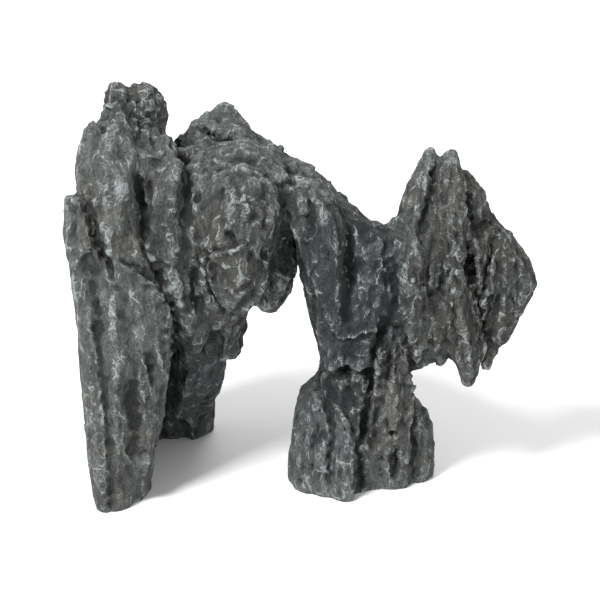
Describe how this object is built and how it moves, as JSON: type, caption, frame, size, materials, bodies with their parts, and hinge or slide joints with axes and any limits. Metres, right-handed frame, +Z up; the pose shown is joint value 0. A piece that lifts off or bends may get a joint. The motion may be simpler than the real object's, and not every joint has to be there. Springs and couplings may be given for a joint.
{
  "type": "aquascaping rock arch",
  "caption": "Cast stone arch for an aquarium: a fluted left wall with a cave, a bridge, and a right leg with a lobed foot and overhanging spires.",
  "frame": {"origin": "middle of the bounding box's underside, in the plane the feet stand on", "axes": "+Z up, +X from the tall left wall towards the overhanging spires, -Y out of the face seen in the picture"},
  "size_m": [0.2824, 0.1468, 0.2513],
  "materials": {
    "stone": "matte dark grey cast stone, its edges dry-brushed light grey and its hollows dark"
  },
  "bodies": {
    "root": {"rock": "stone"}
  },
  "joints": []
}
